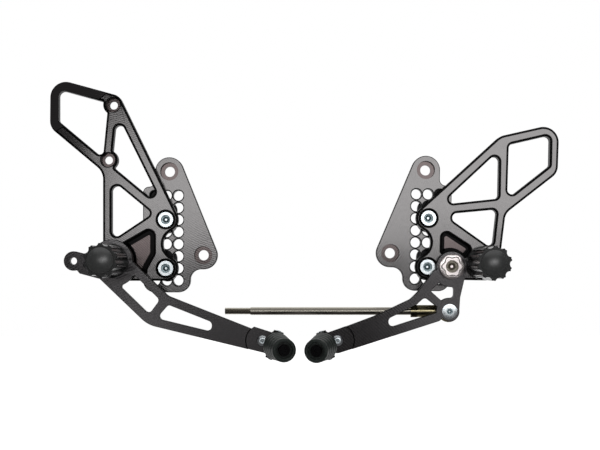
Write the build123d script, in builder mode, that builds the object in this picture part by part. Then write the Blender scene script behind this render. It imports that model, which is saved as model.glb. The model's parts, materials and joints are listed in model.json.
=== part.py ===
from build123d import *
from math import asin, atan2, cos, hypot, pi, radians, sin, sqrt
import os

# Rear set for a motorbike: brake side and gear side with the gear linkage rod.
# Millimetres, +Z up. Plates lie in the XZ plane with their backs at Y=0, the rider's feet are at -Y.
# The origin is the brake plate's upper frame-bolt hole, at the back face.

# Frame bolts, the same pair on both plates
frame_bolt_across = 28.0
frame_bolt_drop = 69.2
frame_bolt_hole = 8.5
frame_bolt_recess = 15.0
frame_bolt_recess_depth = 5.0
frame_bolt_boss = 11.7

# Adjuster plates and their grid of holes
plate_thick = 10.0
grid_pitch_across = 9.6
grid_pitch_down = 10.0
grid_columns = 3
grid_rows = 8
grid_left = 11.8
grid_top = 20.0
grid_hole = 8.4
grid_edge = 9.9
plate_shoulder = 12.6
plate_shoulder_round = 5.0
plate_notch_round = 8.6
blind_hole_depth = 6.5
plate_chamfer = 0.6
round_slack = 0.01

# Bracket bolts sit in the middle column, in the third and seventh rows
bolt_rows = (3, 7)
bolt_shaft = 8.0
bolt_head = 13.0
bolt_head_height = 8.0
bolt_recess = 15.0
bolt_recess_depth = 8.2
bolt_boss = 10.2
bolt_socket = 6.0
bolt_waist = 2.2
bolt_clearance = 0.2
bolt_edge = 0.6
thread_gap = 0.02
thread_short = 1.0
nut_bar_width = 16.0
nut_bar_above = 16.0
nut_bar_below = 11.0
nut_bar_thick = 5.0

# Brackets with their heel guards
bracket_thick = 10.5
bracket_chamfer = 1.1
pocket_depth = 6.0
guard_hole = 6.6
guard_hole_recess = 11.6
guard_hole_recess_depth = 6.5
guard_boss = 8.1
guard_boss_round = 1.2
guard_slope = 5.0

# Levers
washer_thick = 2.0
washer_inset = 1.0
washer_clearance = 0.2
lever_gap = 0.1
lever_thick = 8.0
lever_chamfer = 0.4
sleeve_stand = 0.2
running_gap = 0.05

# Brake pedal and foot peg pivot
peg_across = 45.3
peg_drop = 73.8
pedal_hub = 17.3
pedal_window_wall = 4.2
pedal_ear_reach = 30.9
pedal_ear_radius = 7.9
pedal_ear_hole = 5.9
sleeve_outer = 14.0
sleeve_inner = 8.4
pedal_bush_outer = 18.0

# Foot pegs
peg_length = 72.0
peg_flange = 28.0
peg_flange_length = 4.0
peg_grip = 27.2
peg_lugs = 10
peg_scallop_radius = 3.3
peg_scallop_depth = 1.9
peg_lug_groove = 0.5
peg_bore = 8.4
peg_mouth = 14.4
peg_floor = 14.0
peg_chamfer = 0.6
cap_diameter = 20.4
cap_rise = 4.2
cap_plug_length = 5.0
cap_rim = 1.0
peg_collar_thick = 6.0
peg_collar_inset = 0.2
brake_peg_lug = 90
gear_peg_lug = 52

# Toe ends of both levers: places of their screws, and angles at which the ends point
brake_toe_place = (77.4, -138.9)
brake_toe_angle = -17.7
gear_toe_place = (-70.7, -141.4)
gear_toe_angle = 200.6
toe_lap = 13.4
toe_lap_gap = 0.25
toe_half_width = 8.9
toe_ear_half_width = 11.5
toe_ear_width = 3.0
toe_ear_radius = 4.2
toe_ear_corner = 1.5
toe_ear_shoulder = 1.0
toe_pin_out = 10.4
toe_pin_height = 7.5
toe_pin = 4.0
toe_pin_stand = 0.8
toe_pin_edge = 0.4
toe_screw = 5.0
toe_screw_head = 9.5
toe_screw_head_height = 2.7
toe_screw_head_edge = 1.3
toe_screw_socket = 3.0
toe_screw_socket_depth = 1.8
toe_lean = 15.0
knuckle_radius = 4.4
knuckle_half_width = 4.5
spring_wire = 0.9
spring_radius = 3.2
spring_turns = 2.5
spring_pitch = 1.0
toe_flange = 20.0
toe_flange_start = 5.0
toe_flange_thick = 1.6
toe_core = 10.0
toe_rubber_length = 27.5
toe_rubber_base = 22.4
toe_rubber_tip = 19.0
toe_rubber_rings = 5
toe_rubber_groove = 0.7
toe_rubber_groove_width = 1.3
toe_rubber_mouth = 12.0
toe_rubber_mouth_depth = 3.0
end_screw_head = 9.5
end_screw_head_height = 2.0
end_screw_depth = 8.0
end_screw_edge = 0.3
end_screw_socket = 4.0
end_screw_socket_depth = 1.2
tongue_end = 9.0

# Gear side: where it lies beside the brake side, and its pivot
halves_gap = 7.2
gear_side_rise = 1.2
gear_side_turn = 1.09
gear_peg_across = 47.4
gear_peg_drop = 76.1
gear_peg_boss = 13.6
lever_pivot_across = 20.9
lever_pivot_drop = 79.3
lever_hub = 12.4
lever_hub_gap = 0.4
lever_window_wall = 4.4
pivot_shoulder = 12.0
lever_bush_outer = 16.0
pivot_head = 20.8
pivot_head_height = 5.2
pivot_head_edge = 0.8
pivot_star = 17.0
pivot_star_valley = 13.6
pivot_star_depth = 0.9
pivot_socket = 8.0

# Linkage rod
rod_joint_across = 20.0
rod_joint_drop = 115.9
rod_boss = 7.9
rod_window_wall = 3.2
rod_diameter = 6.4
rod_thread = 5.9
rod_thread_length = 21.4
rod_reach = 183.3
rod_bolt = 6.0
rod_bolt_head = 12.2
rod_bolt_socket = 4.0
rod_bolt_socket_depth = 2.2
ball_diameter = 12.7
ball_width = 9.0
ball_spacer = 1.1
ball_spacer_outer = 10.0
rod_eye = 18.0
rod_eye_width = 6.75
rod_eye_edge = 0.8
rod_nut_thick = 5.0
rod_nut_across = 10.0
rod_bolt_end = 6.5
rod_shank = 10.0
rod_shank_length = 25.7
rod_shank_start = 7.5
rod_start = 12.0
lock_nut_thick = 5.3
lock_nut_across = 10.0
nut_crown = 1.08

# Heights toward the rider, measured from the plates' backs
bracket_back = plate_thick
bracket_front = bracket_back + bracket_thick
lever_back = bracket_front + washer_thick + lever_gap
lever_front = lever_back + lever_thick
pedal_peg_seat = lever_front + sleeve_stand
gear_peg_seat = bracket_front + peg_collar_thick

# The halves lie side by side, with the tips of their toe rubbers apart by the gap
gear_turn = radians(gear_side_turn)
lean = radians(toe_lean)
toe_stack = toe_flange_start + toe_flange_thick + toe_rubber_length
toe_reach = toe_pin_out + toe_stack * sin(lean) + toe_rubber_tip / 2 * cos(lean)
brake_toe_tip = brake_toe_place[0] + toe_reach * cos(radians(brake_toe_angle))
gear_toe_tip = toe_reach * cos(radians(gear_toe_angle) - gear_turn)
gear_toe_tip += gear_toe_place[0] * cos(gear_turn) + gear_toe_place[1] * sin(gear_turn)
gear_side_across = brake_toe_tip + halves_gap - gear_toe_tip

brake_face = Plane(origin=(0, 0, 0), x_dir=(1, 0, 0), z_dir=(0, -1, 0))
gear_face = Plane(
    origin=(gear_side_across, 0, gear_side_rise),
    x_dir=(cos(gear_turn), 0, -sin(gear_turn)),
    z_dir=(0, -1, 0),
)


def outline(points, radii):
    """Closed loop of straight sides, each corner rounded by its own radius."""
    with BuildLine() as loop:
        FilletPolyline(*points, radius=radii, close=True)
    return loop.edges()


def touch_point(start, centre, radius, side):
    """Where a line from start touches the circle, on its left (+1) or right (-1)."""
    reach = hypot(centre[0] - start[0], centre[1] - start[1])
    heading = atan2(centre[1] - start[1], centre[0] - start[0])
    swing = side * asin(radius / reach)
    length = sqrt(reach**2 - radius**2)
    return (start[0] + length * cos(heading + swing), start[1] + length * sin(heading + swing))


def flip(points, hand):
    """The same points for the left (-1) or right (+1) hand."""
    return [(hand * x, y) for x, y in points]


def bolt_places(hand):
    """Middle-column places of the two bracket bolts."""
    column = hand * (grid_pitch_across - grid_left)
    return [(column, -grid_top - grid_pitch_down * (row - 1)) for row in bolt_rows]


def adjuster_plate(face, hand):
    """Plate that bolts to the frame, with a grid of places for the bracket."""
    slant = hypot(frame_bolt_across, frame_bolt_drop)
    steepness = frame_bolt_across / frame_bolt_drop
    touch_x = frame_bolt_boss * frame_bolt_drop / slant
    touch_y = frame_bolt_boss * frame_bolt_across / slant
    far_x = frame_bolt_across + frame_bolt_boss
    left = -grid_left - grid_edge
    right = -grid_left + (grid_columns - 1) * grid_pitch_across + grid_edge
    bottom = -grid_top - (grid_rows - 1) * grid_pitch_down - grid_edge
    points = [
        (-frame_bolt_boss, frame_bolt_boss),
        (touch_x - (frame_bolt_boss - touch_y) * steepness, frame_bolt_boss),
        (far_x, touch_y - (far_x - touch_x) / steepness),
        (far_x, -frame_bolt_drop - frame_bolt_boss),
        (right, -frame_bolt_drop - frame_bolt_boss),
        (right, bottom),
        (left, bottom),
        (left, -plate_shoulder),
        (-frame_bolt_boss, -plate_shoulder),
    ]
    boss = frame_bolt_boss - round_slack
    corner = grid_edge - round_slack
    notch = min(plate_notch_round, far_x - right - frame_bolt_boss)
    radii = [boss, boss, boss, boss, notch, corner, corner]
    radii += [plate_shoulder_round, plate_shoulder_round]
    with BuildPart() as plate:
        with BuildSketch(face):
            make_face(outline(flip(points, hand), radii))
        extrude(amount=plate_thick)
        chamfer(plate.faces().sort_by(Axis.Y)[0].edges(), plate_chamfer)
        with BuildSketch(face.offset(plate_thick)):
            with Locations((0, 0), (hand * frame_bolt_across, -frame_bolt_drop)):
                Circle(frame_bolt_recess / 2)
        extrude(amount=-frame_bolt_recess_depth, mode=Mode.SUBTRACT)
        with BuildSketch(face.offset(plate_thick)):
            with Locations((0, 0), (hand * frame_bolt_across, -frame_bolt_drop)):
                Circle(frame_bolt_hole / 2)
        extrude(amount=-plate_thick, mode=Mode.SUBTRACT)
        for column in range(grid_columns):
            for row in range(grid_rows):
                blind = column == 0 and row == 0
                depth = blind_hole_depth if blind else plate_thick
                place = (hand * (column * grid_pitch_across - grid_left), -grid_top - row * grid_pitch_down)
                with Locations(face.offset(plate_thick).location * Location(place)):
                    Hole(radius=grid_hole / 2, depth=depth)
    return plate.part


def sloped(face, crease):
    """Plane through the crease that falls away from the rider outside it."""
    start, finish = [Vector(*point, bracket_front) for point in crease]
    start = face.from_local_coords(start)
    along = (face.from_local_coords(finish) - start).normalized()
    outward = along.cross(face.z_dir)
    slope = radians(guard_slope)
    return Plane(
        origin=start,
        x_dir=along,
        z_dir=face.z_dir * cos(slope) + outward * sin(slope),
    )


def bracket(face, hand, outline_and_bosses, windows, pocket_shape, guard_holes, crease=None):
    """Milled bracket: bolt bosses, heel guard with windows, blind pocket and bolt recesses."""
    outer, outer_radii, bosses = outline_and_bosses
    bolts = bolt_places(hand)
    half = (bolts[0][1] - bolts[1][1]) / 2
    middle = (bolts[0][1] + bolts[1][1]) / 2
    waist_round = (half**2 + bolt_waist**2 - bolt_boss**2) / (2 * (bolt_boss + bolt_waist))
    waist_x = bolts[0][0] + hand * (waist_round - bolt_waist)
    rise = bolt_boss / (waist_round + bolt_boss)
    corner_x = bolts[0][0] + hand * (waist_round - bolt_waist) * rise
    with BuildPart() as body:
        with BuildSketch(face.offset(bracket_back)):
            make_face(outline(outer, outer_radii))
            with Locations(*bolts):
                Circle(bolt_boss)
            with Locations(((bolts[0][0] + corner_x) / 2, middle)):
                Rectangle(abs(corner_x - bolts[0][0]), 2 * half * (1 - rise))
            for place, radius in bosses:
                with Locations(place):
                    Circle(radius)
            with Locations((waist_x, middle)):
                Circle(waist_round, mode=Mode.SUBTRACT)
            for points, radii, cuts in windows:
                window = window_face(points, radii, cuts)
                add(window, mode=Mode.SUBTRACT)
        extrude(amount=bracket_thick)
        chamfer(body.faces().sort_by(Axis.Y)[0].edges(), bracket_chamfer)
        if crease:
            reach = 2 * hypot(*crease[1])
            with BuildSketch(sloped(face, crease)):
                Rectangle(reach, reach)
            extrude(amount=bracket_thick, mode=Mode.SUBTRACT)
        with BuildSketch(face.offset(bracket_front)):
            add(window_face(*pocket_shape))
        extrude(amount=-pocket_depth, mode=Mode.SUBTRACT)
        chamfer(body.edges(Select.LAST).group_by(Axis.Y)[0], bracket_chamfer)
        with Locations(*[face.offset(bracket_front).location * Location(p) for p in bolts]):
            CounterBoreHole(
                radius=bolt_shaft / 2 + bolt_clearance,
                counter_bore_radius=bolt_recess / 2,
                counter_bore_depth=bolt_recess_depth,
                depth=bracket_thick,
            )
        for place in guard_holes:
            with Locations(face.offset(bracket_front).location * Location(place)):
                CounterBoreHole(
                    radius=guard_hole / 2,
                    counter_bore_radius=guard_hole_recess / 2,
                    counter_bore_depth=guard_hole_recess_depth,
                    depth=bracket_thick,
                )
    return body.part


def window_face(points, radii, cuts):
    """Rounded opening, less the discs left standing round its bosses."""
    with BuildSketch() as opening:
        make_face(outline(points, radii))
        for place, radius, corner in cuts:
            with Locations(place):
                Circle(radius, mode=Mode.SUBTRACT)
            if corner:
                near = [
                    v for v in opening.vertices()
                    if abs(hypot(v.X - place[0], v.Y - place[1]) - radius) < 0.01
                ]
                fillet(near, corner)
    return opening.sketch


brake_bolts = bolt_places(1)
brake_peg = (-peg_across, -peg_drop)
upper_guard_hole = (-45.3, 54.0)
lower_guard_hole = (-49.4, 8.9)
guard_corner = (-40.2, 61.3)
brake_bottom = brake_bolts[1][1] - bolt_boss
brake_outer = [
    (-53.5, -0.9),
    (-96.9, 35.4),
    (-96.9, 77.0),
    guard_corner,
    touch_point(guard_corner, brake_bolts[0], bolt_boss, 1),
    brake_bolts[0],
    brake_bolts[1],
    (brake_bolts[1][0], brake_bottom),
    (brake_peg[0], brake_bottom),
    (-53.5, brake_peg[1]),
]
brake_windows = [
    (
        [(-89.9, 40.6), (-89.9, 66.8), (-49.2, 55.6), (-53.6, 10.2)],
        [3.3, 4.5, 0.5, 3.2],
        [(upper_guard_hole, guard_boss, guard_boss_round)],
    ),
    (
        [(-46.8, 4.3), (-42.5, 47.5), (-3.4, -31.7)],
        [0.5, 4.0, 3.8],
        [(lower_guard_hole, guard_boss, guard_boss_round)],
    ),
    ([(-46.4, -57.3), (-46.4, -7.5), (-13.0, -35.1)], [4.2, 4.5, 3.3], []),
]
brake_pocket = [
    (-38.5, -61.2),
    (-11.8, -45.9),
    (-11.8, -68.0),
    (-18.5, -80.0),
    (-18.5, -84.4),
    (-36.0, -84.4),
]
pocket_rim = 15.4
pocket_corner = 1.2
guard_crease = [(-54.5, 60.6), (-90.1, 33.1)]
brake_bracket = bracket(
    brake_face,
    1,
    (brake_outer, [13.0, 11.5, 12.7, 9.0, 0, 0, 0, 0, 0, 0], [(brake_peg, brake_peg[1] - brake_bottom)]),
    brake_windows,
    (brake_pocket, [0, 4.5, 4.0, 2.0, 2.5, 0], [(brake_peg, pocket_rim, pocket_corner)]),
    [upper_guard_hole, lower_guard_hole],
    guard_crease,
)

gear_bolts = bolt_places(-1)
gear_peg = (gear_peg_across, -gear_peg_drop)
gear_pivot = (lever_pivot_across, -lever_pivot_drop)
rod_joint = (rod_joint_across, -rod_joint_drop)
gear_bottom = gear_bolts[1][1] - bolt_boss
gear_corner = (59.4, 28.2)
gear_outer = [
    gear_corner,
    (107.9, 40.1),
    (107.3, -0.9),
    (65.2, -35.0),
    (gear_peg[0] + gear_peg_boss, gear_peg[1]),
    gear_peg,
    (gear_peg[0], gear_bottom),
    (gear_bolts[1][0], gear_bottom),
    gear_bolts[1],
    gear_bolts[0],
    touch_point(gear_corner, gear_bolts[0], bolt_boss, -1),
]
gear_windows = [
    ([(66.3, -23.4), (66.8, 21.5), (100.6, 30.0), (100.6, 4.6)], [3.7, 3.7, 4.0, 3.3], []),
    ([(12.2, -28.8), (59.1, 16.6), (59.1, -22.9)], [3.5, 3.9, 3.4], []),
    ([(14.5, -36.6), (58.1, -31.7), (55.1, -64.3)], [4.0, 3.7, 3.7], []),
]
gear_pocket = [(13.4, -70.5), (13.4, -48.6), (37.6, -63.8), (33.0, -70.5)]
gear_bracket = bracket(
    gear_face,
    -1,
    (gear_outer, [14.0, 12.7, 11.5, 10.7, 0, 0, 0, 0, 0, 0, 0], [(gear_peg, gear_peg[1] - gear_bottom)]),
    gear_windows,
    (gear_pocket, [0, 4.0, 2.8, 1.5], [(gear_pivot, lever_hub + lever_hub_gap, pocket_corner)]),
    [],
)


def tap(part, face, place, radius, depth_from, depth_to):
    """Plain hole for a thread, between two heights."""
    with BuildPart() as drilled:
        add(part)
        with BuildSketch(face.offset(depth_from)):
            with Locations(place):
                Circle(radius)
        extrude(amount=depth_to - depth_from, mode=Mode.SUBTRACT)
    return drilled.part


tapping = bolt_shaft / 2 + thread_gap
brake_bracket = tap(brake_bracket, brake_face, brake_peg, tapping, bracket_back, bracket_front)
gear_bracket = tap(gear_bracket, gear_face, gear_peg, tapping, bracket_back, bracket_front)
gear_bracket = tap(gear_bracket, gear_face, gear_pivot, tapping, bracket_back, bracket_front)


def lever_end(face, place, angle):
    """Plane at the toe screw: x out along the lever's end, z toward the rider."""
    middle = face.offset((lever_back + lever_front) / 2)
    origin = middle.from_local_coords((place[0], place[1], 0))
    out = middle.x_dir * cos(radians(angle)) + middle.y_dir * sin(radians(angle))
    return Plane(origin=origin, x_dir=out, z_dir=middle.z_dir)


def cut_toe_lap(blank, toe):
    """Half-lap at the lever's tip that carries the toe block."""
    with BuildPart() as lever:
        add(blank)
        with BuildSketch(toe):
            Circle(toe_lap + toe_lap_gap)
        extrude(amount=lever_thick, mode=Mode.SUBTRACT)
        with BuildSketch(toe):
            Circle(toe_screw / 2 + thread_gap)
        extrude(amount=-lever_thick, mode=Mode.SUBTRACT)
    return lever.part


def lever_blank(face, arms, discs, windows):
    """Milled lever: arms round its windows, chamfered on the face toward the rider."""
    with BuildPart() as lever:
        with BuildSketch(face.offset(lever_back)):
            for points, radii in arms:
                make_face(outline(points, radii))
            for place, radius in discs:
                with Locations(place):
                    Circle(radius)
            for points, radii, cuts in windows:
                add(window_face(points, radii, cuts), mode=Mode.SUBTRACT)
        extrude(amount=lever_thick)
        chamfer(lever.faces().sort_by(Axis.Y)[0].edges(), lever_chamfer)
    return lever.part


def bore(part, face, place, radius):
    """Hole right through a lever."""
    return tap(part, face, place, radius, lever_back, lever_front)


brake_toe = lever_end(brake_face, brake_toe_place, brake_toe_angle)
ear_place = (brake_peg[0] - pedal_ear_reach, brake_peg[1] - 0.2)
pedal_outer = [
    brake_peg,
    (-35.6, -67.0),
    (0.6, -102.3),
    (brake_toe_place[0] + 10.2, brake_toe_place[1] + 2.3),
    (brake_toe_place[0] + 5.9, brake_toe_place[1] - 11.1),
    (-16.0, -125.8),
    touch_point((-16.0, -125.8), brake_peg, pedal_hub, 1),
]
pedal_windows = [
    (
        [(-43.0, -90.1), (-14.9, -117.3), (-6.1, -105.6), (-28.5, -83.5)],
        [0.4, 3.4, 3.4, 0.4],
        [(brake_peg, pedal_hub + pedal_window_wall, 2.0)],
    ),
    (
        [(0.7, -109.6), (-9.0, -120.7), (36.2, -131.65), (36.2, -123.7)],
        [3.0, 3.3, 3.7, 3.7],
        [],
    ),
]
ear_neck = (-66.8, -68.3)
pedal_ear = [
    touch_point(ear_neck, ear_place, pedal_ear_radius, -1),
    ear_neck,
    brake_peg,
    (-54.6, -88.6),
    (-71.2, -84.2),
    (-73.8, -81.0),
    ear_place,
]
pedal = lever_blank(
    brake_face,
    [(pedal_outer, [0, 2.0, 10.0, 6.5, 6.5, 25.0, 0]), (pedal_ear, [0, 0, 0, 0, 1.5, 0, 0])],
    [(brake_peg, pedal_hub), (ear_place, pedal_ear_radius)],
    pedal_windows,
)
pedal = bore(pedal, brake_face, brake_peg, pedal_bush_outer / 2)
pedal = bore(pedal, brake_face, ear_place, pedal_ear_hole / 2)
pedal = cut_toe_lap(pedal, brake_toe)

gear_toe = lever_end(gear_face, gear_toe_place, gear_toe_angle)
gear_lever_outer = [
    gear_pivot,
    touch_point(rod_joint, gear_pivot, lever_hub, -1),
    rod_joint,
    (11.8, -123.8),
    (gear_toe_place[0] - 4.9, gear_toe_place[1] - 12.4),
    (gear_toe_place[0] - 11.3, gear_toe_place[1] + 4.6),
    (-41.3, -120.8),
    (-12.4, -106.5),
    (-6.5, -100.6),
    (6.8, -82.4),
]
gear_lever_windows = [
    (
        [(3.9, -99.3), (14.0, -90.3), (24.6, -92.0), (24.0, -108.0), (16.0, -109.7)],
        [1.5, 0.3, 0.3, 0.3, 0.3],
        [(gear_pivot, lever_hub + lever_window_wall, 0), (rod_joint, rod_boss + rod_window_wall, 0)],
    ),
    (
        [(-29.6, -122.6), (-7.0, -110.9), (-0.6, -104.6), (11.0, -113.4), (9.0, -117.0), (-29.6, -130.2)],
        [3.6, 3.0, 3.5, 0.5, 0.5, 3.6],
        [(rod_joint, rod_boss + rod_window_wall, 0)],
    ),
]
gear_lever = lever_blank(
    gear_face,
    [(gear_lever_outer, [0, 0, 0, 4.0, 8.0, 8.0, 20.0, 6.0, 8.0, 0])],
    [(gear_pivot, lever_hub), (rod_joint, rod_boss)],
    gear_lever_windows,
)
gear_lever = bore(gear_lever, gear_face, gear_pivot, lever_bush_outer / 2)
gear_lever = cut_toe_lap(gear_lever, gear_toe)
rod_head_depth = (rod_bolt_head - rod_bolt) / 2
with BuildPart() as drilled_lever:
    add(gear_lever)
    with Locations(gear_face.offset(lever_front).location * Location(rod_joint)):
        CounterSinkHole(
            radius=rod_bolt / 2 + thread_gap,
            counter_sink_radius=rod_bolt_head / 2 + thread_gap,
            depth=lever_thick,
            counter_sink_angle=90,
        )
gear_lever = drilled_lever.part


def ring(face, place, outer, inner, low, high):
    """Plain washer, bush or sleeve between two heights."""
    with BuildPart() as turned:
        with BuildSketch(face.offset(low)):
            with Locations(place):
                Circle(outer / 2)
                Circle(inner / 2, mode=Mode.SUBTRACT)
        extrude(amount=high - low)
    return turned.part


def socket_bolt(face, place, seat, head, head_height, shaft, end, socket):
    """Hexagon-socket cap bolt, its head on the seat and its end at another height."""
    with BuildPart() as bolt:
        with BuildSketch(face.offset(seat)):
            with Locations(place):
                Circle(head / 2)
        extrude(amount=head_height)
        chamfer(bolt.faces().sort_by(Axis.Y)[0].edges(), bolt_edge)
        with BuildSketch(face.offset(end)):
            with Locations(place):
                Circle(shaft / 2)
        extrude(amount=seat - end)
        with BuildSketch(face.offset(seat + head_height)):
            with Locations(place):
                RegularPolygon(socket / 2, 6, major_radius=False)
        extrude(amount=-head_height / 2, mode=Mode.SUBTRACT)
    return bolt.part


def bracket_bolts(face, hand):
    """The two bolts through bracket and plate."""
    seat = bracket_front - bolt_recess_depth
    return [
        socket_bolt(face, place, seat, bolt_head, bolt_head_height, bolt_shaft, -nut_bar_thick, bolt_socket)
        for place in bolt_places(hand)
    ]


def nut_bars(face, hand):
    """Threaded bars behind the plate, one for each bracket bolt."""
    bars = []
    for place in bolt_places(hand):
        middle = (nut_bar_above - nut_bar_below) / 2
        with BuildPart() as bar:
            with BuildSketch(face.offset(-nut_bar_thick)):
                with Locations((place[0], place[1] + middle)):
                    SlotOverall(nut_bar_above + nut_bar_below, nut_bar_width, rotation=90)
                with Locations(place):
                    Circle(bolt_shaft / 2 + thread_gap, mode=Mode.SUBTRACT)
            extrude(amount=nut_bar_thick)
        bars.append(bar.part)
    return bars


def foot_peg(face, place, seat, first_lug):
    """Fluted foot peg turned with a base flange, bored through for its bolt."""
    middle = face.from_local_coords((place[0], place[1], seat))
    axis_plane = Plane(origin=middle, x_dir=face.x_dir, z_dir=face.z_dir)
    pitch = 360 / peg_lugs
    cutter_reach = peg_grip / 2 - peg_scallop_depth + peg_scallop_radius
    with BuildPart() as peg:
        with BuildSketch(axis_plane):
            Circle(peg_flange / 2)
        extrude(amount=peg_flange_length)
        with BuildSketch(axis_plane):
            Circle(peg_grip / 2)
        extrude(amount=peg_length)
        chamfer(peg.faces().sort_by(Axis.Y)[0].edges(), peg_chamfer)
        with BuildSketch(axis_plane.offset(peg_flange_length)):
            with PolarLocations(cutter_reach, peg_lugs, start_angle=first_lug + pitch / 2):
                Circle(peg_scallop_radius)
            with PolarLocations(peg_grip / 2, peg_lugs, start_angle=first_lug):
                Rectangle(peg_lug_groove * sqrt(2), peg_lug_groove * sqrt(2), rotation=45)
        extrude(amount=peg_length, mode=Mode.SUBTRACT)
        with BuildSketch(axis_plane):
            Circle(peg_bore / 2)
        extrude(amount=peg_length, mode=Mode.SUBTRACT)
        with BuildSketch(axis_plane.offset(peg_floor)):
            Circle(peg_mouth / 2)
        extrude(amount=peg_length, mode=Mode.SUBTRACT)
    return peg.part


def peg_cap(face, place, seat):
    """Domed plastic cap pressed in the peg's outer end."""
    middle = face.from_local_coords((place[0], place[1], seat + peg_length))
    section = Plane(origin=middle, x_dir=face.x_dir, z_dir=face.y_dir * -1)
    with BuildPart() as cap:
        with BuildSketch(section):
            with BuildLine():
                Polyline(
                    (0, cap_rise),
                    (0, -cap_plug_length),
                    (peg_mouth / 2, -cap_plug_length),
                    (peg_mouth / 2, 0),
                    (cap_diameter / 2, 0),
                    (cap_diameter / 2, cap_rim),
                )
                TangentArc((0, cap_rise), (cap_diameter / 2, cap_rim), tangent=(1, 0))
            make_face()
        revolve(axis=Axis(middle, face.z_dir))
    return cap.part


def across(toe, out, height, side):
    """Plane at the toe hinge's pin, z along the pin and x out along the lever's end."""
    middle = toe.from_local_coords((out, side, height))
    return Plane(origin=middle, x_dir=toe.x_dir, z_dir=toe.y_dir)


def leaning(toe):
    """Plane at the toe hinge's pin, z along the leaning toe peg."""
    middle = toe.from_local_coords((toe_pin_out, 0, toe_pin_height))
    axis = toe.z_dir * cos(lean) + toe.x_dir * sin(lean)
    return Plane(origin=middle, x_dir=toe.y_dir, z_dir=axis)


def toe_block(toe):
    """Block lapped on the lever's tip, with two ears for the hinge pin."""
    ear_inside = toe_ear_half_width - toe_ear_width
    ear_out = toe_pin_out + toe_ear_radius
    ear_start = toe_pin_out - toe_ear_radius + toe_ear_shoulder
    lap = lever_thick / 2
    with BuildPart() as block:
        with BuildSketch(toe):
            Circle(toe_lap)
            Rectangle(2 * toe_lap, 2 * toe_half_width, mode=Mode.INTERSECT)
            with BuildLine():
                FilletPolyline(
                    (0, -toe_half_width),
                    (toe_screw, -toe_half_width),
                    (ear_start, -toe_ear_half_width),
                    (ear_out, -toe_ear_half_width),
                    (ear_out, toe_ear_half_width),
                    (ear_start, toe_ear_half_width),
                    (toe_screw, toe_half_width),
                    (0, toe_half_width),
                    radius=[0, 0, 0, toe_ear_corner, toe_ear_corner, 0, 0, 0],
                    close=True,
                )
            make_face()
        extrude(amount=lap)
        with BuildSketch(toe):
            with Locations(((tongue_end + toe_lap_gap + ear_out) / 2, 0)):
                Rectangle(ear_out - tongue_end - toe_lap_gap, 2 * toe_half_width)
        extrude(amount=-lap)
        for side in (-1, 1):
            start = ear_inside if side > 0 else -toe_ear_half_width
            with BuildSketch(across(toe, toe_pin_out, toe_pin_height, start)):
                Circle(toe_ear_radius)
                with Locations((0, (toe_pin_height - lap) / 2)):
                    Rectangle(2 * toe_ear_radius, toe_pin_height - lap)
            extrude(amount=toe_ear_width)
        with BuildSketch(across(toe, toe_pin_out, toe_pin_height, -ear_inside)):
            Circle(knuckle_radius + toe_lap_gap)
        extrude(amount=2 * ear_inside, mode=Mode.SUBTRACT)
        with BuildSketch(across(toe, toe_pin_out, toe_pin_height, -toe_ear_half_width)):
            Circle(toe_pin / 2)
        extrude(amount=2 * toe_ear_half_width, mode=Mode.SUBTRACT)
        with BuildSketch(toe):
            Circle(toe_screw / 2 + thread_gap)
        extrude(amount=lap, mode=Mode.SUBTRACT)
    return block.part


def toe_pin_part(toe):
    """Hinge pin through both ears, a little proud of them."""
    half = toe_ear_half_width + toe_pin_stand
    with BuildPart() as pin:
        with BuildSketch(across(toe, toe_pin_out, toe_pin_height, -half)):
            Circle(toe_pin / 2)
        extrude(amount=2 * half)
        chamfer(pin.edges().filter_by(GeomType.CIRCLE), toe_pin_edge)
    return pin.part


def toe_screw_part(toe):
    """Button-headed socket screw that clamps the toe block to the lever's tip."""
    lap = lever_thick / 2
    with BuildPart() as screw:
        with BuildSketch(toe.offset(lap)):
            Circle(toe_screw_head / 2)
        extrude(amount=toe_screw_head_height)
        chamfer(screw.faces().sort_by(Axis.Y)[0].edges(), toe_screw_head_edge)
        with BuildSketch(toe.offset(-lap)):
            Circle(toe_screw / 2)
        extrude(amount=lever_thick)
        with BuildSketch(toe.offset(lap + toe_screw_head_height)):
            RegularPolygon(toe_screw_socket / 2, 6, major_radius=False)
        extrude(amount=-toe_screw_socket_depth, mode=Mode.SUBTRACT)
    return screw.part


def toe_springs(toe):
    """Torsion spring coils round the pin, one each side of the knuckle."""
    coils = []
    length = spring_turns * spring_pitch
    for side in (-1, 1):
        inner = knuckle_half_width + toe_lap_gap + spring_wire / 2
        start = inner if side > 0 else -inner - length
        seat = across(toe, toe_pin_out, toe_pin_height, start)
        path = Helix(pitch=spring_pitch, height=length, radius=spring_radius).moved(seat.location)
        with BuildPart() as coil:
            with BuildSketch(Plane(origin=path @ 0, x_dir=seat.z_dir, z_dir=path % 0)):
                Rectangle(spring_wire, spring_wire)
            sweep(path=path, is_frenet=True)
        coils.append(coil.part)
    return coils


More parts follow.
